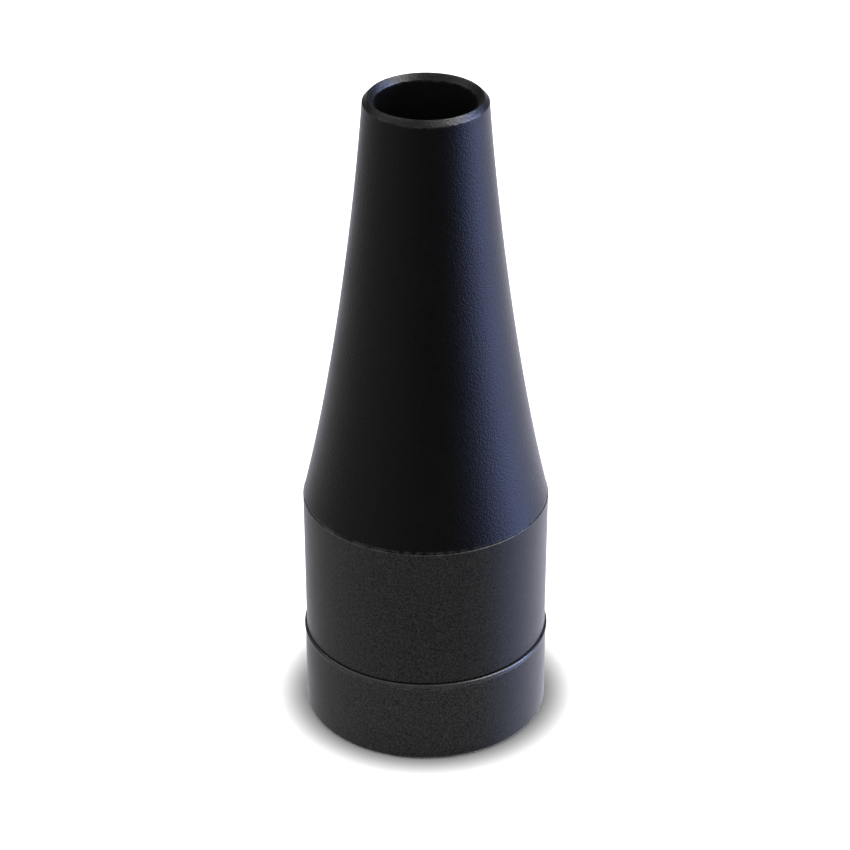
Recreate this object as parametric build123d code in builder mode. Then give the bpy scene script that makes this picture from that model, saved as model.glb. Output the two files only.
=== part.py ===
from build123d import *
import math
import os

# Tapered air nozzle for a dust blower, with a twist-lock collar at its base.
#
# Frame: millimetres, +Z up along the nozzle's axis, origin at the centre of the base rim.
# Air comes in from below, through the socket, the gasket and the screen, runs up the liner and
# the cone, and leaves at the mouth. The collar turns on the barrel's neck: its bayonet plate
# takes the three lugs of the blower's outlet tube and a part turn locks the nozzle on.

# ---------------------------------------------------------------- widths, from the bore outwards
socket_radius = 20.1          # bore that takes the blower's 40 mm outlet tube
sleeve_wall = 2.75            # around the socket
neck_wall = 2.5               # barrel's neck, on which the collar turns
collar_wall = 2.5             # collar around the neck
barrel_inset = 0.05           # how far the barrel's shoulder stands inside the collar's outside
barrel_draft = 0.2            # how much narrower still the barrel is at its underside
barrel_wall = 2.6             # around the barrel's bore
skirt_wall = 1.9              # the cone's skirt, pushed down into the barrel, and the liner

# ---------------------------------------------------------------- outside, from the base up
collar_height = 19.5          # base plane to the collar's upper face
bead_section = 1.15           # cord thickness of the ring between the collar and the barrel
bead_proud = 0.25             # how far that ring stands out past the collar
bead_clearance = 0.35         # running gap between that ring and the barrel
barrel_height = 34.3          # underside of the barrel to the shoulder
cone_height = 97.7            # shoulder to the crest of the mouth
cone_inset = 0.17             # how far the cone's foot stands inside the barrel's edge
cone_land = 0.35              # short upright band at the cone's foot
cone_wall = 2.4               # around the cone's duct, half way up
duct_rise = 11.4              # shoulder to where the cone's duct starts to taper
flare_depth = 1.73            # how far the cone's side curves in from a straight taper, half way
flare_depth_low = 1.43        # the same a quarter of the way up
flare_depth_high = 1.25       # the same three quarters of the way up
mouth_radius = 13.68          # outside of the mouth, under its outer bevel
mouth_outer_bevel = 1.2       # width of the outer bevel
mouth_outer_drop = 1.25       # height of the outer bevel
mouth_inner_bevel = 1.3       # width of the inner bevel
mouth_inner_drop = 1.35       # height of the inner bevel
mouth_soft = 0.4              # round where the inner bevel meets the bore
throat_length = 9.0           # straight bore behind the inner bevel

# ---------------------------------------------------------------- inside the barrel
skirt_length = 8.0
skirt_ring_section = 1.0      # cord thickness of the seal on the skirt
skirt_ring_drop = 4.0         # shoulder down to that seal's middle
shelf_thickness = 2.25        # barrel's underside to the ledge inside it
gasket_thickness = 2.0
gasket_width = 2.1            # how far it stands in from the socket's bore
gasket_bite = 0.4             # how deep its outer edge sits in the sleeve's groove
gasket_slack = 0.3            # how much higher that groove is than the gasket
gasket_backing = 2.9          # inward flange above the gasket
sleeve_flange = 1.0           # thickness of the sleeve's outer flange
screen_thickness = 0.8        # rim of the screen
screen_wire = 0.4             # one layer of the screen's wires
screen_pitch = 3.2

# ---------------------------------------------------------------- collar and bayonet
base_edge = 0.8               # round where the collar meets the table
plate_recess = 0.4            # base plane to the bayonet plate's underside
plate_thickness = 1.6
plate_rim = 1.5               # collar's wall around the plate
tab_clearance = 0.4           # socket's bore to the edge of the plate's tabs
tab_reach = 1.9               # how far the tabs stand in from the plate's ring
tab_count = 3
gap_angle = 62.0              # opening that one lug of the outlet tube passes through
lug_room = 4.6                # height of the chamber in which the lugs turn
washer_thickness = 0.3
lip_height = 1.0              # collar's inner lip, which centres the ring
turn_angle = 60.0             # how far the collar turns between open and locked

# ---------------------------------------------------------------- small hardware
screw_radius = 1.0            # plate screws, countersunk, 2 mm
screw_head_radius = 1.9
screw_length = 5.2
screw_recess = 0.6
screw_slot = 0.5              # width of the cross recess
pilot_wall = 0.5              # plastic left between a screw's pilot and the lug chamber
snap_wire = 1.2               # wire of the ring that holds the collar on the neck
snap_drop = 7.4               # collar's upper face down to that ring's middle
snap_bite = 0.65              # how far the wire stands out past the neck
snap_spare = 0.5              # room behind the wire, so that it can be pressed in
snap_gap_angle = 20.0
pin_radius = 0.8              # dowel that stops the collar's turn
pin_reach = 0.8               # how far it stands out past the neck
pin_drop = 2.9                # collar's upper face down to the pin's axis
pin_angle = 90.0              # direction of the pin about the axis

# ---------------------------------------------------------------- fits and edges
fit_gap = 0.05                # between pieces pushed together
drive_gap = 0.01              # around screws and pins driven into plastic
turn_gap = 0.1                # around what turns
loose_gap = 0.2               # around rings in their grooves
lead_in = 0.45                # chamfer that guides the outlet tube into the sleeve
edge_break = 0.15             # small rounds on moulded edges
seam_break = 0.08             # fine chamfers that show as a hairline at a joint

# ---------------------------------------------------------------- heights worked out from these
plate_top = plate_recess + plate_thickness
collar_ledge = plate_top + lug_room
neck_end = collar_ledge + washer_thickness + fit_gap
barrel_base = collar_height + bead_section + bead_clearance
barrel_ledge = barrel_base + shelf_thickness
flange_top = barrel_ledge + sleeve_flange
gasket_top = flange_top - gasket_backing
gasket_base = gasket_top - gasket_thickness
shoulder = barrel_base + barrel_height
crest = shoulder + cone_height
screen_top = flange_top + screen_thickness
skirt_end = shoulder - skirt_length
snap_height = collar_height - snap_drop
pin_height = collar_height - pin_drop

# ---------------------------------------------------------------- radii worked out from these
gasket_bore = socket_radius - gasket_width
gasket_seat_radius = socket_radius + gasket_bite
sleeve_radius = socket_radius + sleeve_wall
neck_bore = sleeve_radius + fit_gap
neck_radius = neck_bore + neck_wall
collar_bore = neck_radius + turn_gap
collar_radius = collar_bore + collar_wall
barrel_radius = collar_radius - barrel_inset
barrel_bore = barrel_radius - barrel_wall
insert_radius = barrel_bore - fit_gap
duct_radius = insert_radius - skirt_wall
tab_radius = socket_radius + tab_clearance
gap_radius = tab_radius + tab_reach
chamber_radius = gap_radius + loose_gap
plate_seat_radius = collar_radius - plate_rim
plate_radius = plate_seat_radius - turn_gap
bead_radius = collar_radius + bead_proud - bead_section / 2
lip_radius = bead_radius - bead_section / 2 - loose_gap
cone_base_radius = barrel_radius - cone_inset
crest_radius = mouth_radius - mouth_outer_bevel
mouth_bore = crest_radius - mouth_inner_bevel
screw_circle = chamber_radius + pilot_wall + screw_radius
snap_radius = neck_radius + snap_bite - snap_wire / 2

# ---------------------------------------------------------------- bearings about the axis
gap_starts = [pin_angle + k * 360 / tab_count for k in range(tab_count)]
tab_angle = 360 / tab_count - gap_angle
screw_bearing = pin_angle - tab_angle / 2


def radial_plane(angle):
    """Upright plane through the axis: local x runs outwards at that angle, local y runs up."""
    a = math.radians(angle)
    return Plane(
        origin=(0, 0, 0),
        x_dir=(math.cos(a), math.sin(a), 0),
        z_dir=(math.sin(a), -math.cos(a), 0),
    )


def save(piece, name):
    """Labels a finished piece and writes it as parts/NAME.step."""
    piece.part.label = name
    export_step(piece.part, f"parts/{name}.step")


os.makedirs("parts", exist_ok=True)


# ================================================================ nozzle body
# Cone: a flared taper with a bevelled mouth, a straight inner taper and a skirt that plugs
# into the barrel. The skirt carries a seal in a groove.
skirt_ring_height = shoulder - skirt_ring_drop
skirt_groove_floor = barrel_bore - skirt_ring_section - fit_gap
skirt_groove_height = skirt_ring_section + loose_gap
mouth_edge = (mouth_radius, crest - mouth_outer_drop)
bore_edge = (mouth_bore, crest - mouth_inner_drop)
foot_edge = (cone_base_radius, shoulder + cone_land)


def flare_point(share, depth):
    """Point on the cone's side: that share of the way up, curved in by that depth."""
    return (
        foot_edge[0] + share * (mouth_edge[0] - foot_edge[0]) - depth,
        foot_edge[1] + share * (mouth_edge[1] - foot_edge[1]),
    )


flare_middle = flare_point(0.5, flare_depth)

with BuildPart() as nozzle_cone:
    with BuildSketch(Plane.XZ) as cone_section:
        with BuildLine():
            Polyline(
                (cone_base_radius - seam_break, shoulder),
                (insert_radius, shoulder),
                (insert_radius, skirt_end),
                (duct_radius, skirt_end),
                (duct_radius, shoulder + duct_rise),
            )
            ThreePointArc(
                (duct_radius, shoulder + duct_rise),
                (flare_middle[0] - cone_wall, flare_middle[1]),
                (mouth_bore, crest - mouth_inner_drop - throat_length),
            )
            Polyline(
                (mouth_bore, crest - mouth_inner_drop - throat_length),
                bore_edge,
                (crest_radius, crest),
                mouth_edge,
            )
            Spline(
                mouth_edge,
                flare_point(0.75, flare_depth_high),
                flare_middle,
                flare_point(0.25, flare_depth_low),
                foot_edge,
            )
            Polyline(
                foot_edge,
                (cone_base_radius, shoulder + seam_break),
                (cone_base_radius - seam_break, shoulder),
            )
        make_face()
        for corner, soft in (
            (bore_edge, mouth_soft),
            ((crest_radius, crest), edge_break),
            (mouth_edge, edge_break),
        ):
            fillet(cone_section.vertices().sort_by_distance(corner)[0], soft)
    revolve(axis=Axis.Z)
    with BuildSketch(Plane.XZ):
        with Locations((skirt_groove_floor, skirt_ring_height)):
            Rectangle(insert_radius, skirt_groove_height, align=(Align.MIN, Align.CENTER))
    revolve(axis=Axis.Z, mode=Mode.SUBTRACT)

# Seal on the cone's skirt: a round cord ring.
with BuildPart() as skirt_seal:
    with BuildSketch(Plane.XZ):
        with Locations((barrel_bore - skirt_ring_section / 2 - fit_gap / 2, skirt_ring_height)):
            Circle(skirt_ring_section / 2)
    revolve(axis=Axis.Z)

# Barrel: a tube with a ledge inside and a narrower neck below, grooved for the snap ring and
# drilled for the stop pin.
snap_groove_height = snap_wire + loose_gap
snap_groove_floor = snap_radius - snap_wire / 2 - snap_spare

with BuildPart() as barrel:
    with BuildSketch(Plane.XZ):
        with BuildLine():
            Polyline(
                (neck_bore, neck_end),
                (neck_radius, neck_end),
                (neck_radius, barrel_base),
                (barrel_radius - barrel_draft, barrel_base),
                (barrel_radius, shoulder - seam_break),
                (barrel_radius - seam_break, shoulder),
                (barrel_bore, shoulder),
                (barrel_bore, barrel_ledge),
                (neck_bore, barrel_ledge),
                close=True,
            )
        make_face()
    revolve(axis=Axis.Z)
    with BuildSketch(Plane.XZ):
        with Locations((snap_groove_floor, snap_height)):
            Rectangle(neck_radius, snap_groove_height, align=(Align.MIN, Align.CENTER))
    revolve(axis=Axis.Z, mode=Mode.SUBTRACT)
    with BuildSketch(Plane(origin=(0, 0, pin_height), z_dir=radial_plane(pin_angle).x_dir)):
        Circle(pin_radius)
    extrude(amount=barrel_radius, mode=Mode.SUBTRACT)
    outer_rims = barrel.edges().filter_by(GeomType.CIRCLE).group_by(Axis.Z)
    under_rim = [rims for rims in outer_rims if abs(rims[0].center().Z - barrel_base) < fit_gap][0]
    fillet(under_rim.sort_by(SortBy.RADIUS)[-1], edge_break)
    neck_rims = barrel.edges().filter_by(GeomType.CIRCLE).group_by(Axis.Z)[0]
    chamfer(neck_rims.sort_by(SortBy.RADIUS)[-1], edge_break)

# Socket sleeve: hangs by its flange from the barrel's ledge. The outlet tube slides into it and
# stops against the gasket.
with BuildPart() as socket_sleeve:
    with BuildSketch(Plane.XZ):
        with BuildLine():
            Polyline(
                (socket_radius, neck_end),
                (sleeve_radius, neck_end),
                (sleeve_radius, barrel_ledge),
                (insert_radius, barrel_ledge),
                (insert_radius, flange_top),
                (gasket_bore, flange_top),
                (gasket_bore, gasket_top),
                (gasket_seat_radius, gasket_top),
                (gasket_seat_radius, gasket_base - gasket_slack),
                (socket_radius, gasket_base - gasket_slack),
                close=True,
            )
        make_face()
    revolve(axis=Axis.Z)
    end_rims = socket_sleeve.edges().filter_by(GeomType.CIRCLE).group_by(Axis.Z)[0]
    chamfer(end_rims.sort_by(SortBy.RADIUS)[0], lead_in)

# Gasket: flat ring held in the sleeve's groove, faced by the end of the outlet tube.
with BuildPart() as face_gasket:
    with BuildSketch(Plane.XY.offset(gasket_base)):
        Circle(gasket_seat_radius - fit_gap)
        Circle(gasket_bore, mode=Mode.SUBTRACT)
    extrude(amount=gasket_thickness)
    fillet(face_gasket.edges().group_by(Axis.Z)[0], edge_break)

# Screen: a rim with two crossed layers of wires, lying on the sleeve's flange.
wire_count = 2 * int(duct_radius / screen_pitch) + 1

with BuildPart() as inlet_screen:
    with BuildSketch(Plane.XY.offset(flange_top)):
        Circle(insert_radius)
        Circle(duct_radius, mode=Mode.SUBTRACT)
    extrude(amount=screen_thickness)
    for layer, turn in enumerate((0, 90)):
        with BuildSketch(Plane.XY.offset(flange_top + layer * screen_wire)):
            with Locations(Rotation(0, 0, turn)):
                with GridLocations(screen_pitch, 0, wire_count, 1):
                    Rectangle(screen_wire, 2 * insert_radius)
            Circle(duct_radius + fit_gap, mode=Mode.INTERSECT)
        extrude(amount=screen_wire)

# Liner: a plain tube that holds the screen down and carries the duct's bore up to the skirt.
with BuildPart() as duct_liner:
    with BuildSketch(Plane.XY.offset(screen_top)):
        Circle(insert_radius)
        Circle(duct_radius, mode=Mode.SUBTRACT)
    extrude(amount=skirt_end - fit_gap - screen_top)

# Snap ring: open wire ring in the neck's groove, which also enters the collar's groove.
with BuildPart() as snap_ring:
    with BuildSketch(radial_plane(pin_angle + 180 + snap_gap_angle / 2)):
        with Locations((snap_radius, snap_height)):
            Circle(snap_wire / 2)
    revolve(axis=Axis.Z, revolution_arc=360 - snap_gap_angle)

# Stop pin: a dowel through the neck's wall. Its end runs in the collar's slot.
with BuildPart() as stop_pin:
    with BuildSketch(Plane(origin=(0, 0, pin_height), z_dir=radial_plane(pin_angle).x_dir)):
        Circle(pin_radius - drive_gap)
    extrude(amount=neck_radius + pin_reach)
    with BuildSketch(Plane.XY):
        Circle(neck_bore)
    extrude(amount=collar_height, mode=Mode.SUBTRACT)

# Slip washer: between the end of the neck and the collar's ledge.
with BuildPart() as slip_washer:
    with BuildSketch(Plane.XY.offset(collar_ledge + fit_gap / 2)):
        Circle(neck_radius - turn_gap)
        Circle(neck_bore + turn_gap, mode=Mode.SUBTRACT)
    extrude(amount=washer_thickness)


# ================================================================ turning collar
# Ring between the collar and the barrel: a round cord ring, seated on the collar.
with BuildPart() as bead_ring:
    with BuildSketch(Plane.XZ):
        with Locations((bead_radius, collar_height + bead_section / 2)):
            Circle(bead_section / 2)
    revolve(axis=Axis.Z)

# Base collar: a sleeve around the neck with a ledge, a chamber for the lugs, a seat for the
# bayonet plate, a groove for the snap ring and a slot for the stop pin.
slot_reach = pin_reach + loose_gap
slot_height = 2 * (pin_radius + loose_gap)
slot_spare = math.degrees((pin_radius + loose_gap) / neck_radius)
snap_room = snap_bite + loose_gap
lip_top = collar_height + lip_height
pilot_depth = screw_length - plate_thickness + loose_gap

with BuildPart() as base_collar:
    with BuildSketch(Plane.XZ):
        with BuildLine():
            Polyline(
                (plate_seat_radius, 0),
                (collar_radius, 0),
                (collar_radius, collar_height),
                (lip_radius, collar_height),
                (lip_radius, lip_top),
                (collar_bore, lip_top),
                (collar_bore, collar_ledge),
                (chamber_radius, collar_ledge),
                (chamber_radius, plate_top),
                (plate_seat_radius, plate_top),
                close=True,
            )
        make_face()
    revolve(axis=Axis.Z)
    with BuildSketch(Plane.XZ):
        with Locations((0, snap_height)):
            Rectangle(neck_radius + snap_room, snap_groove_height, align=(Align.MIN, Align.CENTER))
    revolve(axis=Axis.Z, mode=Mode.SUBTRACT)
    with BuildSketch(radial_plane(pin_angle - turn_angle - slot_spare)):
        with Locations((0, pin_height)):
            Rectangle(neck_radius + slot_reach, slot_height, align=(Align.MIN, Align.CENTER))
    revolve(axis=Axis.Z, revolution_arc=turn_angle + 2 * slot_spare, mode=Mode.SUBTRACT)
    with BuildSketch(Plane.XY.offset(plate_top)):
        with PolarLocations(screw_circle, tab_count, start_angle=screw_bearing):
            Circle(screw_radius)
    extrude(amount=pilot_depth, mode=Mode.SUBTRACT)
    for end, soft in ((0, base_edge), (-1, edge_break)):
        outer_rims = base_collar.edges().filter_by(GeomType.CIRCLE).group_by(SortBy.RADIUS)[-1]
        fillet(outer_rims.sort_by(Axis.Z)[end], soft)

# Bayonet plate: a ring with three inward tabs. The lugs pass between the tabs and the collar's
# turn brings the tabs under them.
with BuildPart() as bayonet_plate:
    with BuildSketch(Plane.XY.offset(plate_recess)):
        Circle(plate_radius)
        Circle(tab_radius, mode=Mode.SUBTRACT)
    extrude(amount=plate_thickness)
    for start in gap_starts:
        with BuildSketch(radial_plane(start)):
            with Locations((gap_radius, plate_recess)):
                Rectangle(gap_radius / 2, plate_thickness, align=(Align.MAX, Align.MIN))
        revolve(axis=Axis.Z, revolution_arc=gap_angle, mode=Mode.SUBTRACT)
    with Locations(Plane(origin=(0, 0, plate_recess), x_dir=(1, 0, 0), z_dir=(0, 0, -1))):
        with PolarLocations(screw_circle, tab_count, start_angle=-screw_bearing):
            CounterSinkHole(screw_radius + turn_gap, screw_head_radius + turn_gap)

# Plate screws: countersunk, with a cross recess, standing head down in the plate.
head_height = screw_head_radius - screw_radius

with BuildPart() as plate_screw:
    with BuildSketch(Plane.XZ):
        with BuildLine():
            Polyline(
                (0, 0),
                (screw_head_radius, 0),
                (screw_radius - drive_gap, head_height),
                (screw_radius - drive_gap, screw_length - screw_radius / 2),
                (screw_radius / 2, screw_length),
                (0, screw_length),
                close=True,
            )
        make_face()
    revolve(axis=Axis.Z)
    with BuildSketch(Plane.XY):
        Rectangle(2 * screw_radius, screw_slot)
        Rectangle(screw_slot, 2 * screw_radius)
    extrude(amount=screw_recess, mode=Mode.SUBTRACT)

with BuildPart() as plate_screws:
    with Locations((0, 0, plate_recess)):
        with PolarLocations(screw_circle, tab_count, start_angle=screw_bearing):
            add(plate_screw.part)


# ================================================================ one file for each piece
save(nozzle_cone, "nozzle_cone")
save(skirt_seal, "skirt_seal")
save(barrel, "barrel")
save(socket_sleeve, "socket_sleeve")
save(face_gasket, "face_gasket")
save(inlet_screen, "inlet_screen")
save(duct_liner, "duct_liner")
save(snap_ring, "snap_ring")
save(stop_pin, "stop_pin")
save(slip_washer, "slip_washer")
save(bead_ring, "bead_ring")
save(base_collar, "base_collar")
save(bayonet_plate, "bayonet_plate")
save(plate_screws, "plate_screws")
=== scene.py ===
# %% [markdown]
# # A blower nozzle with a twist-lock collar
# The nozzle is a tall black moulding that stands on its wide end. It is pushed on the outlet
# tube of a dust blower and locked with the collar at its foot. This file takes the exact
# parts as they were designed, rebuilds the ones that a plain solid only hints at, gives every
# part its finish, and sets up the table, the light and the camera. Lengths are in metres,
# +Z is up, and the origin is the centre of the base.

import bpy
import numpy as np
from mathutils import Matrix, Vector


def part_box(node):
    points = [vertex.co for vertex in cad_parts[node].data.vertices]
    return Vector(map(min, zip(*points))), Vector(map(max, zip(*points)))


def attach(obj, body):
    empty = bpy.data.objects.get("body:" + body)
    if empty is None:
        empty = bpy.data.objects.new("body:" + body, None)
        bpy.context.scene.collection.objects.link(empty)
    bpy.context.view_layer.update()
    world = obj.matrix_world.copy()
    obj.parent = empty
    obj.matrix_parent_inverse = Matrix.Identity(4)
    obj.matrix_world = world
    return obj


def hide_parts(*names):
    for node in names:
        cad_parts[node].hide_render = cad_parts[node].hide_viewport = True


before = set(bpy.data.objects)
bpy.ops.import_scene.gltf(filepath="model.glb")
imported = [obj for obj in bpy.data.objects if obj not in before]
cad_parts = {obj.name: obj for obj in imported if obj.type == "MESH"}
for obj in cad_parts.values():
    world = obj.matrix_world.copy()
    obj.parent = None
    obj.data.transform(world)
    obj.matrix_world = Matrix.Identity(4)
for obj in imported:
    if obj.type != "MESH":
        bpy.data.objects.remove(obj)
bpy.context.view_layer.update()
MM = 0.001
print("parts:", ", ".join(sorted(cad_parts)))


# %% [markdown]
# ## Writing shader maths as plain expressions
# A worn, grained surface needs dozens of small sums in its node tree. Linked by hand, they
# hide the idea. So a small class wraps an output socket, and an expression on such values
# adds the Math nodes by itself. One method, `add`, makes every other kind of node. The same
# two classes serve the materials and the sky.

# %% A socket that can stand in an expression
class Value:
    """An output socket of a node tree, with arithmetic that adds Math nodes."""

    def __init__(self, tree, socket):
        self.tree = tree
        self.socket = socket

    def math(self, operation, *others):
        return self.tree.add("ShaderNodeMath", {"operation": operation}, [self, *others])

    def __add__(self, other):
        return self.math("ADD", other)

    __radd__ = __add__

    def __mul__(self, other):
        return self.math("MULTIPLY", other)

    __rmul__ = __mul__

    def __sub__(self, other):
        return self.math("SUBTRACT", other)

    def __rsub__(self, other):
        return self.tree.add("ShaderNodeMath", {"operation": "SUBTRACT"}, [other, self])

    def __truediv__(self, other):
        return self.math("DIVIDE", other)

    def __pow__(self, other):
        return self.math("POWER", other)

    def above(self, start, end):
        """0 below start, 1 above end, and a smooth rise between them."""
        settings = {"interpolation_type": "SMOOTHSTEP"}
        return self.tree.add("ShaderNodeMapRange", settings, [self, start, end, 0.0, 1.0])

    def kept(self):
        """The value held between 0 and 1."""
        return self.tree.add("ShaderNodeClamp", {}, [self, 0.0, 1.0])


class Tree:
    """A node tree under construction."""

    def __init__(self, node_tree):
        self.nodes = node_tree.nodes
        self.links = node_tree.links
        self.nodes.clear()

    def add(self, kind, settings, inputs, output=0):
        """One node: its settings are set first, then the values or links of its sockets."""
        node = self.nodes.new(kind)
        for key, value in settings.items():
            setattr(node, key, value)
        pairs = inputs.items() if isinstance(inputs, dict) else enumerate(inputs)
        for key, value in pairs:
            self.feed(node.inputs[key], value)
        return Value(self, node.outputs[output])

    def feed(self, socket, value):
        """Links a Value to a socket, or sets a plain number or colour on it."""
        if isinstance(value, Value):
            self.links.new(value.socket, socket)
        else:
            socket.default_value = value

    def vector(self, operation, *inputs, output=0):
        """A Vector Math node."""
        return self.add("ShaderNodeVectorMath", {"operation": operation}, inputs, output)

    def shows(self, kind, surface):
        """The output node of the tree, fed with its surface."""
        self.links.new(surface, self.nodes.new(kind).inputs["Surface"])


print("shader maths is ready")


# %% [markdown]
# ## Patterns that a finish is made of
# Every finish here is a recipe of a few patterns: soft noise for smudges and colour clouds,
# scattered cells for pits and dust, noise drawn out along one direction for brushing and
# handling marks, and the distance to a rim for wear, because edges are rubbed first. They
# all read the position on the piece, so nothing slides when the camera moves.

# %% A material under construction
class Recipe(Tree):
    """A material with one Principled shader, and the patterns that feed it."""

    def __init__(self, name):
        self.material = bpy.data.materials.new(name)
        self.material.use_nodes = True
        super().__init__(self.material.node_tree)
        self.shader = self.nodes.new("ShaderNodeBsdfPrincipled")
        self.shows("ShaderNodeOutputMaterial", self.shader.outputs["BSDF"])
        self.place = self.add("ShaderNodeTexCoord", {}, {}, "Object")
        split = self.add("ShaderNodeSeparateXYZ", {}, [self.place]).socket.node
        self.x, self.y, self.z = [Value(self, out) for out in split.outputs]
        self.radius = (self.x * self.x + self.y * self.y) ** 0.5

    def noise(self, where, size, detail=2.0, rough=0.5):
        """Soft noise whose blobs are about `size` metres across, from 0 to 1."""
        sockets = {"Vector": where, "Scale": 1 / size, "Detail": detail, "Roughness": rough}
        return self.add("ShaderNodeTexNoise", {}, sockets, "Fac")

    def cells(self, where, size, output="Distance"):
        """Scattered points about `size` metres apart: the distance to the nearest one."""
        return self.add("ShaderNodeTexVoronoi", {}, {"Vector": where, "Scale": 1 / size}, output)

    def stretch(self, *scale):
        """The place, scaled along each axis: a larger factor packs a pattern closer."""
        return self.vector("MULTIPLY", self.place, scale)

    def near_rim(self, radius, height, width):
        """1 on the circle of that radius and height, fading to 0 at `width` from it."""
        out = self.radius - radius
        up = self.z - height
        return 1 - ((out * out + up * up) ** 0.5).above(0.0, width)

    def specks(self, size, share, spread):
        """Dust: a round speck in some of the cells, each a `spread` part of its cell."""
        chance = self.cells(self.place, size, "Color")
        chosen = chance.math("FRACT").above(1 - share, 1 - share + 0.01)
        return chosen * (1 - self.cells(self.place, size).above(0.4 * spread, spread))

    def blend(self, share, first, second):
        """A colour that goes from first to second as share goes from 0 to 1."""
        settings = {"data_type": "RGBA", "clamp_factor": True}
        return self.add("ShaderNodeMix", settings, {0: share, 6: first, 7: second}, 2)

    def bump(self, height, depth, over=None):
        """A normal that follows a height field of `depth` metres, laid over another one."""
        sockets = {"Height": height, "Distance": depth, "Strength": 1.0}
        if over is not None:
            sockets["Normal"] = over
        return self.add("ShaderNodeBump", {}, sockets)

    def finish(self, **sockets):
        """Feeds the shader; Base_Color stands for the socket Base Color, and so on."""
        for name, value in sockets.items():
            self.feed(self.shader.inputs[name.replace("_", " ")], value)
        return self.material


def grey(level, warmth=0.0):
    """A grey of that brightness, a little warmer (or cooler, if negative)."""
    return (level * (1 + warmth), level, level * (1 - warmth), 1.0)


def wear(piece, material):
    """Gives a piece one material."""
    piece.data.materials.clear()
    piece.data.materials.append(material)


print("patterns are ready")


# %% [markdown]
# ## Sizes that the finishes and the rebuilt pieces share
# The boxes of the designed parts give most of them: where the mouth, the shoulder, the ring
# and the base are. The few that a box can't give, such as the widths of the bevels at the
# mouth, are repeated here as the designer wrote them.

# %% Heights and radii of the nozzle
cone_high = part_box("nozzle_cone")[1]
barrel_low, barrel_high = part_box("barrel")
collar_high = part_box("base_collar")[1]
bead_low, bead_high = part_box("bead_ring")
screen_low, screen_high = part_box("inlet_screen")

shoulder = barrel_high[2]
barrel_radius = barrel_high[0]
collar_radius = collar_high[0]
bead_height = (bead_low[2] + bead_high[2]) / 2

crest_height = shoulder + 97.7 * MM
mouth_radius = 13.68 * MM
outer_bevel = (1.2 * MM, 1.25 * MM)
inner_bevel = (1.3 * MM, 1.35 * MM)
crest_radius = mouth_radius - outer_bevel[0]
mouth_bore = crest_radius - inner_bevel[0]
mouth_edge_height = crest_height - outer_bevel[1]
bore_edge_height = crest_height - inner_bevel[1]
print("shoulder at", round(shoulder / MM, 2), "mm, crest at", round(crest_height / MM, 2), "mm")


# %% [markdown]
# ## Turning an outline into a piece
# The cone is a body of revolution: one outline, carried round the axis. A lathe modifier
# could do that, but its corners stay knife-sharp. Here the outline is worked out first, with
# a small arc in place of each corner, and then the whole surface is one grid of points. The
# shading normals come from the outline too, so that a long wall next to a tiny round stays
# perfectly flat in its reflections.

# %% Outlines with soft corners
ARC_STEPS = 7


def soft_outline(corners):
    """Closed outline through corners given as rows of radius, height and roundness.

    Each corner is replaced by an arc. It starts roundness * tan(turn / 2) before the corner,
    where turn is the change of direction there. From then on its direction swings evenly
    through the turn: a point of it is the arc's centre plus the roundness times the
    direction's normal. A corner of roundness 0 stays one point.
    """
    corners = np.asarray(corners, float)
    spot, soft = corners[:, :2], corners[:, 2]
    before = spot - np.roll(spot, 1, axis=0)
    after = np.roll(before, -1, axis=0)
    before = before / np.linalg.norm(before, axis=1, keepdims=True)
    after = after / np.linalg.norm(after, axis=1, keepdims=True)
    cross = before[:, 0] * after[:, 1] - before[:, 1] * after[:, 0]
    turn = np.arctan2(cross, (before * after).sum(axis=1))
    side = np.sign(turn) * soft
    start = spot - before * (soft * np.tan(np.abs(turn) / 2))[:, None]
    left = np.stack([-before[:, 1], before[:, 0]], axis=1)
    centre = start + side[:, None] * left
    share = np.linspace(0, 1, ARC_STEPS)
    heading = np.arctan2(before[:, 1], before[:, 0])[:, None] + turn[:, None] * share
    outward = np.stack([np.sin(heading), -np.cos(heading)], axis=2)
    arcs = centre[:, None] + side[:, None, None] * outward
    kept = (soft > 0)[:, None] | (share == 0)
    return arcs[kept]


def outline_normals(outline):
    """Each normal is square to the line between the two neighbours of its point."""
    along = np.roll(outline, -1, axis=0) - np.roll(outline, 1, axis=0)
    normals = np.stack([along[:, 1], -along[:, 0]], axis=1)
    return normals / np.linalg.norm(normals, axis=1, keepdims=True)


print("corner arcs have", ARC_STEPS, "points")


# %% From a grid of points to a mesh
def grid_faces(rows, columns, close_rows=True, close_columns=True):
    """Four-cornered faces between neighbours of a grid; a closed side joins its ends."""
    row = np.arange(rows if close_rows else rows - 1)[:, None]
    column = np.arange(columns if close_columns else columns - 1)[None, :]
    here = row * columns + column
    up = row * columns + (column + 1) % columns
    over = ((row + 1) % rows) * columns + column
    both = ((row + 1) % rows) * columns + (column + 1) % columns
    return np.stack([here, over, both, up], axis=2).reshape(-1, 4)


def new_piece(name, points, faces, normals=None):
    """A mesh object at the origin, smooth shaded, with its place in its mesh."""
    points = np.asarray(points, float).reshape(-1, 3)
    mesh = bpy.data.meshes.new(name)
    mesh.from_pydata(points.tolist(), [], faces)
    mesh.polygons.foreach_set("use_smooth", np.ones(len(mesh.polygons), bool))
    mesh.update()
    if normals is not None:
        mesh.normals_split_custom_set_from_vertices(np.asarray(normals).reshape(-1, 3).tolist())
    piece = bpy.data.objects.new(name, mesh)
    bpy.context.scene.collection.objects.link(piece)
    return piece


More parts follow.
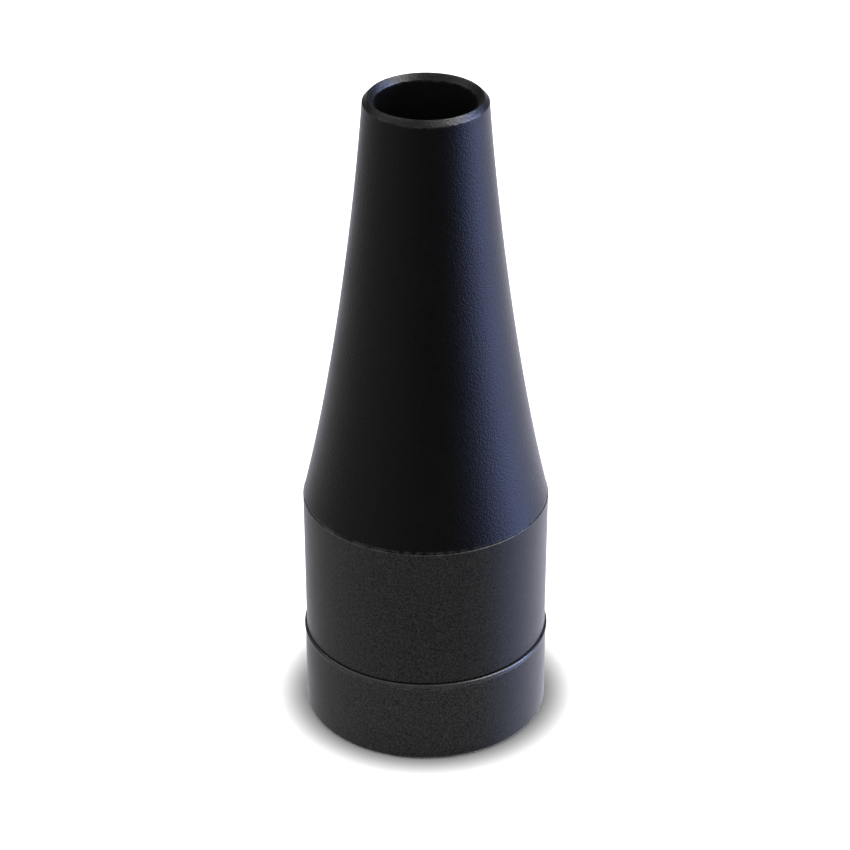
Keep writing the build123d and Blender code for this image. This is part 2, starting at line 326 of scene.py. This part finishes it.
def turned(name, outline, steps):
    """The outline carried round +Z: (radius cos a, radius sin a, height) at each angle a."""
    angle = np.linspace(0, 2 * np.pi, steps, endpoint=False)[:, None]

    def around(profile):
        flat = profile[None, :, 0]
        upright = np.broadcast_to(profile[None, :, 1], (steps, len(profile)))
        return np.stack([flat * np.cos(angle), flat * np.sin(angle), upright], axis=2)

    faces = grid_faces(steps, len(outline)).tolist()
    return new_piece(name, around(outline), faces, around(outline_normals(outline)))


def stands_for(piece, body, node):
    """The piece rides on a body and hides the designed node."""
    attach(piece, body)
    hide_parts(node)
    print(piece.name, "has", len(piece.data.polygons), "faces")


# %% [markdown]
# ## The cone
# The cone is one thin-walled moulding: a side that curves in from the shoulder to the mouth,
# a mouth with an outer and an inner bevel, a duct inside, and a skirt that plugs into the
# barrel. The curve of the side is the one shape that the eye follows, so it gets forty-eight
# points of its own. It could be drawn as a circle's arc, but it curves in more near the
# foot: a polynomial through the designer's five points says so exactly.

# %% The cone's outline
def curved_wall(start, end, stations, depths, count):
    """Points between two corners, as rows of radius, height and roundness 0.

    At a share of the way, the point is start + share * (end - start), drawn in towards the
    axis by the value there of the polynomial through the given depths.
    """
    share = np.linspace(0, 1, count + 2)[1:-1]
    depth = np.polyval(np.polyfit(stations, depths, len(depths) - 1), share)
    radius = start[0] + share * (end[0] - start[0]) - depth
    height = start[1] + share * (end[1] - start[1])
    return np.stack([radius, height, 0 * share], axis=1)


foot_band = 0.35 * MM
cone_wall = 2.4 * MM
skirt_wall = 1.9 * MM
barrel_wall = 2.6 * MM
fit_gap = 0.05 * MM
cone_foot = (cone_high[0], shoulder + foot_band)
mouth_edge = (mouth_radius, mouth_edge_height)
seam = 0.08 * MM
skirt_radius = barrel_radius - barrel_wall - fit_gap
skirt_end = shoulder - 8.0 * MM
duct_radius = skirt_radius - skirt_wall
duct_start = shoulder + 11.4 * MM
throat_end = bore_edge_height - 9.0 * MM
groove_floor = skirt_radius - 1.0 * MM
groove_half = 0.6 * MM
groove_height = shoulder - 4.0 * MM

side_depth = np.array([0, 1.43, 1.73, 1.25, 0]) * MM
side = curved_wall(cone_foot, mouth_edge, np.linspace(0, 1, 5), side_depth, 48)

throat = (mouth_bore, throat_end)
duct_foot = (duct_radius, duct_start)
waist_height = (cone_foot[1] + mouth_edge[1]) / 2
waist_radius = (cone_foot[0] + mouth_edge[0]) / 2 - side_depth[2] - cone_wall
waist_share = (waist_height - throat_end) / (duct_start - throat_end)
waist_depth = mouth_bore + waist_share * (duct_radius - mouth_bore) - waist_radius
duct_side = curved_wall(throat, duct_foot, [0, waist_share, 1], [0, waist_depth, 0], 32)

hair = 0.03 * MM
cone_outline = soft_outline(np.concatenate([
    [(cone_foot[0] - seam, shoulder, hair), (cone_foot[0], shoulder + seam, hair),
     (*cone_foot, hair)],
    side,
    [(*mouth_edge, 0.15 * MM), (crest_radius, crest_height, 0.15 * MM),
     (mouth_bore, bore_edge_height, 0.45 * MM), (*throat, 2 * MM)],
    duct_side,
    [(*duct_foot, 2 * MM), (duct_radius, skirt_end, 0.3 * MM),
     (skirt_radius, skirt_end, 0.3 * MM),
     (skirt_radius, groove_height - groove_half, hair),
     (groove_floor, groove_height - groove_half, hair),
     (groove_floor, groove_height + groove_half, hair),
     (skirt_radius, groove_height + groove_half, hair), (skirt_radius, shoulder, hair)],
]))
cone = turned("nozzle_cone_turned", cone_outline, 320)
stands_for(cone, "nozzle", "nozzle_cone")
print("outline points:", len(cone_outline), "widest", round(cone_outline[:, 0].max() / MM, 2), "mm")


# %% [markdown]
# ## The inlet screen
# Behind the gasket a woven wire screen keeps fluff out of the nozzle. The designed part is
# two flat layers of square wire. Real wire cloth weaves: each wire swings over one neighbour
# and under the next, and the crossing wires do the opposite. Each wire is a thin tube along
# a wave, all of them are one grid of points, and a pressed rim holds their ends.

# %% Woven wires and their rim
WIRE_PITCH = 3.2 * MM
WIRE_SIDES = 10
WIRE_RINGS = 161
wire_radius = (screen_high[2] - screen_low[2]) / 4
screen_level = (screen_high[2] + screen_low[2]) / 2
wires_each_way = int(duct_radius / WIRE_PITCH)


def woven_wires(sign):
    """Wires along X, as an array of wire, ring, side and coordinate.

    Wire n lies n pitches from the middle and runs out to the rim. Its middle line has the
    height: wire radius * cos(pi * distance / pitch), with a sign that changes from one wire
    to the next. Round that line, each point is the wire's radius out: its cosine part goes
    level, and its sine part goes along the wave's own normal.
    """
    number = np.arange(-wires_each_way, wires_each_way + 1)[:, None, None]
    across = number * WIRE_PITCH
    reach = np.sqrt((duct_radius + 0.3 * MM) ** 2 - across**2)
    along = reach * np.linspace(-1, 1, WIRE_RINGS)[None, :, None]
    angle = np.linspace(0, 2 * np.pi, WIRE_SIDES, endpoint=False)[None, None, :]
    swing = np.where(number % 2 == 0, sign, -sign) * wire_radius
    phase = np.pi * along / WIRE_PITCH
    slope = np.arctan(-swing * np.pi / WIRE_PITCH * np.sin(phase))
    run = along - wire_radius * np.sin(angle) * np.sin(slope)
    level = across - wire_radius * np.cos(angle)
    rise = screen_level + swing * np.cos(phase) + wire_radius * np.sin(angle) * np.cos(slope)
    return np.stack(np.broadcast_arrays(run, level, rise), axis=3)


def quarter_turn(points):
    """Turned a quarter round the axis: X goes to Y, and Y to minus X."""
    return np.stack([-points[..., 1], points[..., 0], points[..., 2]], axis=-1)


wire_points = np.concatenate([woven_wires(1), quarter_turn(woven_wires(-1))])
wire_start = np.arange(len(wire_points))[:, None] * WIRE_RINGS * WIRE_SIDES
one_sleeve = grid_faces(WIRE_RINGS, WIRE_SIDES, close_rows=False)
first_ring = np.arange(WIRE_SIDES)
last_ring = first_ring[::-1] + (WIRE_RINGS - 1) * WIRE_SIDES
wire_faces = (one_sleeve[None] + wire_start[..., None]).reshape(-1, 4).tolist()
wire_faces += (first_ring + wire_start).tolist() + (last_ring + wire_start).tolist()
screen_wires = new_piece("inlet_screen_wires", wire_points, wire_faces)
stands_for(screen_wires, "nozzle", "inlet_screen")

rim_inside = duct_radius
rim_outside = screen_high[0]
rim_outline = soft_outline([
    (rim_outside, screen_low[2], 0.15 * MM), (rim_outside, screen_high[2], 0.15 * MM),
    (rim_inside, screen_high[2], 0.3 * MM), (rim_inside, screen_low[2], 0.3 * MM),
])
screen_rim = turned("inlet_screen_rim", rim_outline, 256)
stands_for(screen_rim, "nozzle", "inlet_screen")


# %% [markdown]
# ## Black plastics
# The cone comes out of a spark-eroded mould: its surface is a field of tiny overlapping
# pits, which break every reflection into a fine glitter. The barrel and the collar come from
# a stoned mould: they are smooth, satin, and only a little uneven. Black plastic shows almost
# nothing of its own colour; what one sees is its gloss. So the pits are a bump, the handling
# is in the roughness, and the colour is kept nearly black. Edges are rubbed smoother, and a
# paler colour on them is a painted highlight; smudges a thumb wide change the gloss, and dust
# settles as pale specks.

# %% Black plastic, grained or satin
def black_plastic(name, tone, roughness, gloss, grain, rims_with_painted_highlight, streak):
    """Moulded black.

    grain is the size and depth of its pits. The rims are radius, height and width of the edges
    that get rubbed smoother and also get a painted highlight, a paler colour. streak is how much
    the fine handling lines change the roughness.
    """
    r = Recipe(name)
    size, depth = grain
    pits = r.cells(r.place, size)
    fine = r.noise(r.place, 0.6 * size, 3.0, 0.6)
    patches = r.noise(r.place, 1.6 * MM, 3.0, 0.6)
    smudges = r.noise(r.place, 15 * MM, 2.0)
    sinks = r.noise(r.place, 11 * MM, 1.0)
    lines = r.noise(r.stretch(1, 1, 55), 9 * MM, 3.0, 0.7).above(0.55, 0.75)

    # The rubbed mask on the rims is real wear, smoother and less grained, and also carries the
    # painted highlight in the colour below.
    rubbed = 0.0
    for radius, height, width in rims_with_painted_highlight:
        rubbed = r.near_rim(radius, height, width) + rubbed
    rubbed = (rubbed * patches.above(0.38, 0.62)).kept()
    dust = r.specks(1.7 * MM, 0.07, 0.10) * smudges.above(0.42, 0.60)

    relief = (0.5 * pits + 0.5 * fine) * (1 - 0.6 * rubbed)
    normal = r.bump(relief, depth, r.bump(sinks, 0.02 * MM))
    rough = roughness + 0.09 * (smudges - 0.5) + 0.05 * (patches - 0.5) + streak * lines
    rough = rough - 0.12 * rubbed + 0.3 * dust
    speckle = r.noise(r.place, 0.45 * MM, 2.0).above(0.22, 0.78)
    clouds = r.blend(speckle, grey(0.4 * tone, -0.1), grey(1.6 * tone, 0.05))
    # Painted highlight: the rims take a paler colour that stands in for the light their edges
    # catch.
    worn = r.blend(rubbed, clouds, grey(1.5 * tone + 0.010))
    color = r.blend(dust, worn, grey(0.10, 0.1))
    return r.finish(Base_Color=color, Roughness=rough.kept(), Normal=normal,
                    Specular_IOR_Level=gloss)


mouth_rims_with_painted_highlight = [(crest_radius, crest_height, 0.7 * MM), (mouth_radius, mouth_edge_height, 0.45 * MM),
              (mouth_bore, bore_edge_height, 0.6 * MM), (*cone_foot, 0.5 * MM)]
cone_black = black_plastic("cone_black", tone=0.0004, roughness=0.38, gloss=0.35,
                           grain=(0.48 * MM, 0.10 * MM), rims_with_painted_highlight=mouth_rims_with_painted_highlight, streak=0.03)
barrel_rims_with_painted_highlight = [(barrel_radius, shoulder, 0.5 * MM), (barrel_radius, barrel_low[2], 0.5 * MM)]
barrel_black = black_plastic("barrel_black", tone=0.0075, roughness=0.40, gloss=0.35,
                             grain=(0.30 * MM, 0.018 * MM), rims_with_painted_highlight=barrel_rims_with_painted_highlight, streak=0.06)
# The 1 mm band at the foot's edge is a painted reflection of the table: a pale line along the
# bottom.
collar_rims_with_painted_highlight = [(collar_radius, 0.0, 1.0 * MM), (collar_radius, bead_low[2], 0.4 * MM)]
collar_black = black_plastic("collar_black", tone=0.0100, roughness=0.40, gloss=0.35,
                             grain=(0.30 * MM, 0.015 * MM), rims_with_painted_highlight=collar_rims_with_painted_highlight, streak=0.08)
wear(cone, cone_black)
wear(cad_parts["barrel"], barrel_black)
wear(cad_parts["base_collar"], collar_black)
print("black plastics: cone, barrel, collar")


# %% [markdown]
# ## Plain mouldings inside
# The socket sleeve and the liner are dark grey acetal, a waxy plastic that slides well. The
# flow of the melt leaves faint upright streaks, and each time the nozzle is pushed on, the
# tube draws fine lines along the socket. The slip washer is white and soft, with grey rings
# where it has been turned on.

# %% Acetal and the slip washer
def acetal(name, tone):
    """Waxy grey with upright flow streaks and fine lines from sliding."""
    r = Recipe(name)
    streaks = r.noise(r.stretch(40, 40, 1), 20 * MM, 3.0, 0.6)
    slides = r.noise(r.stretch(60, 60, 0.5), 8 * MM, 2.0, 0.7).above(0.58, 0.70)
    clouds = r.noise(r.place, 9 * MM, 3.0)
    grain = r.noise(r.place, 0.3 * MM, 2.0)
    color = r.blend(streaks, grey(0.8 * tone), grey(1.2 * tone, 0.03))
    color = r.blend(0.25 * slides, color, grey(2.2 * tone))
    rough = 0.36 + 0.12 * clouds + 0.10 * slides
    normal = r.bump(slides, 0.006 * MM, r.bump(grain, 0.006 * MM))
    return r.finish(Base_Color=color, Roughness=rough.kept(), Normal=normal)


def slip_white(name):
    """Soft white plastic with rings rubbed grey by turning."""
    r = Recipe(name)
    soft = r.noise(r.place, 1 * MM, 1.0)
    turns = (r.radius * (2 * np.pi / (0.35 * MM))).math("SINE") * 0.5 + 0.5
    patches = r.noise(r.place, 3 * MM, 3.0)
    rubbed = turns * patches.above(0.40, 0.65)
    color = r.blend(rubbed, grey(0.78, 0.02), grey(0.50, 0.02))
    normal = r.bump(turns * 0.3 + soft * 0.7, 0.01 * MM)
    return r.finish(Base_Color=color, Roughness=(0.45 + 0.15 * rubbed).kept(), Normal=normal)


liner_grey = acetal("liner_grey", 0.05)
wear(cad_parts["socket_sleeve"], liner_grey)
wear(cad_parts["duct_liner"], liner_grey)
wear(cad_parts["slip_washer"], slip_white("slip_white"))
print("inner mouldings: sleeve, liner, washer")


# %% [markdown]
# ## Rubber
# The ring between the collar and the barrel is a glossy black cord ring: it is moulded in two
# halves, so a fine flash line runs round its outside, and it is the shiniest thing on the
# nozzle. The skirt's seal is the same rubber, dulled by its lubricant. The gasket is a soft
# grey silicone that holds dust and carries the ring-shaped print of the tube's end.

# %% Cord rings and the gasket
def cord_rubber(name, tone, roughness, middle):
    """Black rubber; middle is the height of its flash line."""
    r = Recipe(name)
    flash = 1 - (r.z - middle).math("ABSOLUTE").above(0.0, 0.05 * MM)
    bloom = r.noise(r.place, 2.5 * MM, 3.0, 0.6)
    grain = r.noise(r.place, 0.15 * MM, 2.0)
    dust = r.specks(0.9 * MM, 0.08, 0.14)
    color = r.blend(bloom, grey(0.7 * tone), grey(1.5 * tone, -0.05))
    color = r.blend(dust, color, grey(0.12, 0.1))
    rough = roughness + 0.12 * bloom + 0.10 * flash + 0.3 * dust
    normal = r.bump(flash, 0.004 * MM, r.bump(grain, 0.002 * MM))
    return r.finish(Base_Color=color, Roughness=rough.kept(), Normal=normal,
                    Specular_IOR_Level=0.5)


def silicone(name, tone, print_inside):
    """Matt grey rubber with dust, and a smoother print outside that radius."""
    r = Recipe(name)
    clouds = r.noise(r.place, 5 * MM, 3.0, 0.6)
    grain = r.noise(r.place, 0.25 * MM, 3.0, 0.6)
    pressed = r.radius.above(print_inside, print_inside + 0.3 * MM)
    dust = r.specks(1.1 * MM, 0.15, 0.14)
    color = r.blend(clouds, grey(0.85 * tone), grey(1.15 * tone, 0.03))
    color = r.blend(0.5 * pressed, color, grey(0.6 * tone))
    color = r.blend(dust, color, grey(0.35, 0.08))
    rough = 0.72 + 0.08 * clouds - 0.22 * pressed
    normal = r.bump(grain, 0.02 * MM, r.bump(1 - pressed, 0.02 * MM))
    return r.finish(Base_Color=color, Roughness=rough.kept(), Normal=normal)


seal_low, seal_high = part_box("skirt_seal")
wear(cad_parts["bead_ring"], cord_rubber("bead_black", 0.012, 0.22, bead_height))
wear(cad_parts["skirt_seal"],
     cord_rubber("seal_black", 0.010, 0.42, (seal_low[2] + seal_high[2]) / 2))
wear(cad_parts["face_gasket"], silicone("gasket_grey", 0.12, 18.9 * MM))
print("rubber: ring, seal, gasket")


# %% [markdown]
# ## Steel
# The bayonet plate is stamped from brushed stainless sheet. Its grain runs one way across the
# sheet, and over it the lugs of the tube have drawn arcs on the tabs. The screws are turned,
# so their marks are rings round each screw's own axis. The screen is bright drawn wire, and
# the spring wire of the snap ring and the pin is darker and oiled.

# %% Brushed plate, turned screws, drawn wire
def brushed_plate(name):
    """Stainless sheet brushed along X, with arcs rubbed by the lugs."""
    r = Recipe(name)
    brushing = r.noise(r.stretch(1, 70, 1), 16 * MM, 4.0, 0.7)
    deep = r.noise(r.stretch(1, 45, 1), 9 * MM, 2.0, 0.7).above(0.62, 0.70)
    arcs = (r.radius * (2 * np.pi / (0.22 * MM))).math("SINE") * 0.5 + 0.5
    patches = r.noise(r.place, 2.5 * MM, 3.0, 0.6)
    rubbed = arcs * patches.above(0.42, 0.62) * (1 - r.radius.above(21.8 * MM, 22.6 * MM))
    stain = r.noise(r.place, 10 * MM, 3.0)
    color = r.blend(stain, grey(0.52, 0.01), grey(0.64, 0.02))
    color = r.blend(0.5 * rubbed, color, grey(0.75, 0.01))
    rough = 0.30 + 0.14 * brushing + 0.06 * stain - 0.08 * rubbed
    normal = r.bump(brushing - 0.7 * deep - 0.3 * rubbed, 0.010 * MM)
    return r.finish(Base_Color=color, Roughness=rough.kept(), Normal=normal, Metallic=1.0)


def turned_steel(name, centres):
    """Steel with rings round the nearest of the given axes."""
    r = Recipe(name)
    level = r.vector("MULTIPLY", r.place, (1, 1, 0))
    nearest = None
    for centre in centres:
        distance = r.vector("DISTANCE", level, centre, output="Value")
        nearest = distance if nearest is None else nearest.math("MINIMUM", distance)
    rings = (nearest * (2 * np.pi / (0.12 * MM))).math("SINE") * 0.5 + 0.5
    nicks = r.noise(r.place, 0.5 * MM, 3.0, 0.7)
    worn = nicks.above(0.52, 0.70) * (1 - nearest.above(0.5 * MM, 1.3 * MM))
    color = r.blend(nicks, grey(0.42, 0.01), grey(0.56, 0.02))
    color = r.blend(worn, color, grey(0.72))
    rough = 0.28 + 0.10 * nicks - 0.08 * worn
    normal = r.bump(rings, 0.002 * MM, r.bump(nicks, 0.008 * MM))
    return r.finish(Base_Color=color, Roughness=rough.kept(), Normal=normal, Metallic=1.0)


def wire_steel(name, tone, roughness, soot):
    """Drawn wire: fine lines, with soot in patches."""
    r = Recipe(name)
    lines = r.noise(r.place, 0.12 * MM, 2.0)
    patches = r.noise(r.place, 3.5 * MM, 3.0, 0.6)
    dirty = patches.above(0.45, 0.70) * soot
    color = r.blend(lines, grey(0.85 * tone), grey(1.1 * tone, 0.02))
    color = r.blend(dirty, color, grey(0.25 * tone, 0.1))
    rough = roughness + 0.08 * lines + 0.25 * dirty
    normal = r.bump(lines, 0.003 * MM)
    return r.finish(Base_Color=color, Roughness=rough.kept(), Normal=normal, Metallic=1.0)


screw_circle = 24.1 * MM
screw_angles = np.radians(61 + 120 * np.arange(3))
screw_axes = np.stack([np.cos(screw_angles), np.sin(screw_angles), 0 * screw_angles], axis=1)
screw_axes = [tuple(axis) for axis in (screw_circle * screw_axes).tolist()]
wear(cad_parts["bayonet_plate"], brushed_plate("plate_brushed"))
wear(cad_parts["plate_screws"], turned_steel("screw_turned", screw_axes))
screen_bright = wire_steel("screen_bright", 0.55, 0.26, 0.5)
wear(screen_wires, screen_bright)
wear(screen_rim, screen_bright)
spring_dark = wire_steel("spring_dark", 0.32, 0.30, 0.8)
wear(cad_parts["snap_ring"], spring_dark)
wear(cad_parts["stop_pin"], spring_dark)
print("steel: plate, screws, screen, snap ring, pin")


# %% [markdown]
# ## Table and light
# The table is plain and white. Its colour carries a painted shadow, the soft dark ring round the
# foot: an open sky alone leaves that shadow wider and paler than it should be. The light has two
# jobs.
# A sky that is a little brighter in front lights everything that is matt, the table above
# all. Black plastic hardly answers to that: it shows only what its gloss reflects. So what the
# gloss sees is set up apart, as a ring of soft lamps, each a smooth bright patch of the sky
# in one direction. A real studio does the same with big cloth boxes and black cards.

# %% The table
TABLE_HALF = 2.5
corners = TABLE_HALF * np.array([(-1, -1, 0), (1, -1, 0), (1, 1, 0), (-1, 1, 0)])
table = new_piece("floor", corners, [[0, 1, 2, 3]])
table_finish = Recipe("table_white")
weave = table_finish.noise(table_finish.place, 4 * MM, 2.0)
# Painted shadow round the foot: the table's colour is dark grey near the foot and turns white
# between these two radii.
painted_shadow_start = 25 * MM
painted_shadow_end = 40.5 * MM
outside_painted_shadow = table_finish.radius.above(painted_shadow_start, painted_shadow_end)
table_white = table_finish.blend(weave, grey(0.88), grey(0.92))
# The grey of the painted shadow.
painted_shadow_color = grey(0.12)
table_color_with_painted_shadow = table_finish.blend(outside_painted_shadow, painted_shadow_color, table_white)
wear(table, table_finish.finish(Base_Color=table_color_with_painted_shadow, Roughness=0.9, Specular_IOR_Level=0.0))
table.visible_glossy = False
print("table", 2 * TABLE_HALF, "m wide")

# %% The sky and its soft lamps
SKY_BRIGHTNESS = 2.3
SKY_LEAN = 0.5
WHITE = (1.0, 1.0, 1.0)
COOL = (1.0, 1.0, 1.2)
BLUE = (0.4, 0.5, 1.0)
# bearing from the camera's side towards +X, height above the table (degrees), how tight the
# patch is, its brightness and its tint
soft_lamps = {
    "back_table": (180, -30, 10, 2.0, COOL),
    "back_right_table": (135, -30, 10, 1.0, COOL),
    "back_left_table": (-135, -30, 10, 0.5, WHITE),
    "left_table": (-90, -30, 10, 0.35, WHITE),
    "under": (135, -65, 6, 1.0, WHITE),
    "left_card": (-45, -15, 10, 0.2, WHITE),
    "right_window": (90, 0, 12, 7.0, BLUE),
    "high_right": (90, 65, 10, 1.5, WHITE),
    "high_left": (-90, 65, 10, 1.0, WHITE),
    "blue_lamp": (95, 25, 80, 45.0, BLUE),
    "right_lamp": (80, 50, 60, 22.0, WHITE),
    "left_lamp": (-100, 40, 80, 3.0, WHITE),
}
world = bpy.data.worlds.new("studio")
bpy.context.scene.world = world
world.use_nodes = True
sky = Tree(world.node_tree)
direction = sky.add("ShaderNodeTexCoord", {}, {}, "Generated")
glow = (0.0, 0.0, 0.0)
for bearing, height, tightness, brightness, tint in soft_lamps.values():
    bearing, height = np.radians(bearing), np.radians(height)
    towards = (np.sin(bearing) * np.cos(height), -np.cos(bearing) * np.cos(height), np.sin(height))
    facing = sky.vector("DOT_PRODUCT", direction, towards, output="Value")
    patch = facing.math("MAXIMUM", 0.0) ** tightness
    strength = patch * brightness
    lit = sky.add("ShaderNodeVectorMath", {"operation": "SCALE"}, {0: tint, "Scale": strength})
    glow = sky.vector("ADD", lit, glow)
frontward = sky.vector("DOT_PRODUCT", direction, (0, -1, 0), output="Value")
leaning = (SKY_LEAN * frontward + 1) * SKY_BRIGHTNESS
is_diffuse = sky.add("ShaderNodeLightPath", {}, {}, "Is Diffuse Ray")
is_glossy = sky.add("ShaderNodeLightPath", {}, {}, "Is Glossy Ray")
plain = is_diffuse * leaning + (1 - is_diffuse) * SKY_BRIGHTNESS
plain_sky = sky.add("ShaderNodeCombineXYZ", {}, [plain, plain, plain])
seen = sky.add("ShaderNodeMix", {"data_type": "VECTOR"}, {0: is_glossy, 4: plain_sky, 5: glow}, 1)
background = sky.add("ShaderNodeBackground", {}, {"Color": seen, "Strength": 1.0})
sky.shows("ShaderNodeOutputWorld", background.socket)
print("soft lamps:", ", ".join(soft_lamps))


# %% [markdown]
# ## The camera
# It stands a little over arm's length away, looks down by thirty degrees, and is aimed at the
# middle of the nozzle. A long lens keeps the taper true, and the picture is kept as plain as
# a catalogue's, without a film-like tone curve.

# %% Camera
camera_distance = 0.6895
camera_elevation = np.radians(29.97)
aim_height = 72.36 * MM
aim_side = -0.17 * MM
camera_data = bpy.data.cameras.new("camera")
camera = bpy.data.objects.new("camera", camera_data)
bpy.context.scene.collection.objects.link(camera)
camera.location = (aim_side, -camera_distance * np.cos(camera_elevation),
                   aim_height + camera_distance * np.sin(camera_elevation))
camera.rotation_euler = (np.radians(90) - camera_elevation, 0, 0)
camera_data.sensor_width = 36
camera_data.lens = 129.66
bpy.context.scene.camera = camera
bpy.context.scene.view_settings.view_transform = "Standard"
print("camera at", [round(value, 3) for value in camera.location])
